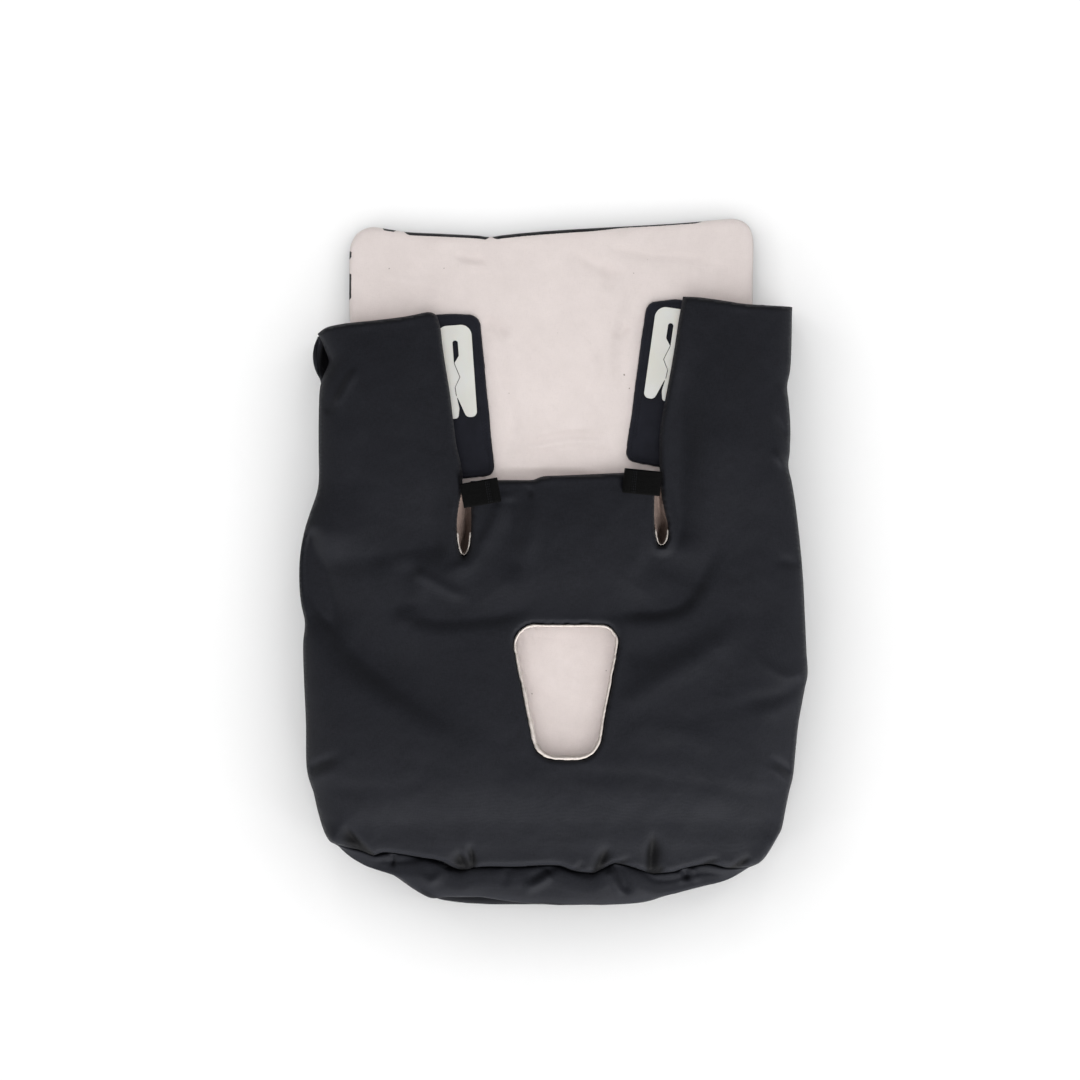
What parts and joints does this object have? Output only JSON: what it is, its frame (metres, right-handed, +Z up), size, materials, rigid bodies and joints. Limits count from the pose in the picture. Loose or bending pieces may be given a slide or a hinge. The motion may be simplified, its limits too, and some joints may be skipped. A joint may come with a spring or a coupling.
{
  "type": "padded footmuff",
  "caption": "Padded seat footmuff lying flat: boxed quilted bag, cream lined back, bib flap between two harness slits, crotch strap opening, wings with shoulder pads and split hooks.",
  "frame": {"origin": "middle of the bag's footprint, on the surface that it lies on", "axes": "+Y along the bag from the foot end to the head end, +X across the bag, +Z up out of the open front"},
  "size_m": [0.513, 0.7, 0.0517],
  "materials": {
    "outer_fabric": "woven polyester, dark charcoal, soft sheen",
    "lining_fabric": "soft brushed cream lining",
    "wadding": "loose white polyester wadding",
    "pad_fabric": "woven polyester, navy black",
    "pad_foam": "soft grey foam",
    "binding": "turned cream lining with a stitched edge",
    "slit_binding": "turned cream lining, shaded",
    "webbing": "ribbed polyester webbing",
    "thread": "close zigzag stitching",
    "gathering_tape": "woven tape",
    "hook_plastic": "off-white moulded plastic, satin gloss",
    "rivet_metal": "nickel-plated tubular rivet"
  },
  "bodies": {
    "bag": {"back_outer_fabric": "outer_fabric", "back_wadding": "wadding", "back_lining": "lining_fabric", "left_gusset_outer_fabric": "outer_fabric", "left_gusset_wadding": "wadding", "left_gusset_lining": "lining_fabric", "right_gusset_outer_fabric": "outer_fabric", "right_gusset_wadding": "wadding", "right_gusset_lining": "lining_fabric", "foot_gusset_outer_fabric": "outer_fabric", "foot_gusset_wadding": "wadding", "foot_gusset_lining": "lining_fabric", "front_cover_outer_fabric": "outer_fabric", "front_cover_wadding": "wadding", "front_cover_lining": "lining_fabric", "crotch_opening_binding": "binding", "left_slit_binding": "slit_binding", "right_slit_binding": "slit_binding", "foot_seam_gathering_tape": "gathering_tape"},
    "front_flap": {"front_flap_outer_fabric": "outer_fabric", "front_flap_wadding": "wadding", "front_flap_lining": "lining_fabric"},
    "left_wing": {"left_wing_outer_fabric": "outer_fabric", "left_wing_wadding": "wadding", "left_wing_lining": "lining_fabric"},
    "left_pad": {"left_shoulder_pad_cover": "pad_fabric", "left_shoulder_pad_foam": "pad_foam", "left_shoulder_pad_backing": "pad_fabric", "left_split_hook": "hook_plastic", "left_hook_rivets": "rivet_metal"},
    "left_loop": {"left_webbing_loop": "webbing", "left_loop_bar_tack": "thread"},
    "right_wing": {"right_wing_outer_fabric": "outer_fabric", "right_wing_wadding": "wadding", "right_wing_lining": "lining_fabric"},
    "right_pad": {"right_shoulder_pad_cover": "pad_fabric", "right_shoulder_pad_foam": "pad_foam", "right_shoulder_pad_backing": "pad_fabric", "right_split_hook": "hook_plastic", "right_hook_rivets": "rivet_metal"},
    "right_loop": {"right_webbing_loop": "webbing", "right_loop_bar_tack": "thread"}
  },
  "joints": [
    {"name": "left_wing_fold", "type": "hinge", "parent": "bag", "child": "left_wing", "pos_m": [-0.098, 0.026, 0.0445], "axis": [0.4771, -0.8789, 0], "range_deg": [0, 160]},
    {"name": "right_wing_fold", "type": "hinge", "parent": "bag", "child": "right_wing", "pos_m": [0.117, 0.034, 0.0445], "axis": [0.3915, 0.9202, 0], "range_deg": [0, 160]},
    {"name": "front_flap_fold", "type": "hinge", "parent": "bag", "child": "front_flap", "pos_m": [0.01, 0.024, 0.0445], "axis": [1, 0, 0], "range_deg": [0, 120]},
    {"name": "left_loop_lift", "type": "hinge", "parent": "front_flap", "child": "left_loop", "pos_m": [-0.08934, 0.06765, 0.048], "axis": [0.1736, -0.9848, 0], "range_deg": [0, 95]},
    {"name": "right_loop_lift", "type": "hinge", "parent": "front_flap", "child": "right_loop", "pos_m": [0.10652, 0.07967, 0.048], "axis": [0.0958, 0.9954, 0], "range_deg": [0, 95]},
    {"name": "left_pad_swing", "type": "hinge", "parent": "left_wing", "child": "left_pad", "pos_m": [-0.10302, 0.24659, 0.02], "axis": [0, 0, 1], "range_deg": [-6, 6]},
    {"name": "right_pad_swing", "type": "hinge", "parent": "right_wing", "child": "right_pad", "pos_m": [0.12316, 0.25984, 0.02], "axis": [0, 0, 1], "range_deg": [-6, 6]}
  ]
}
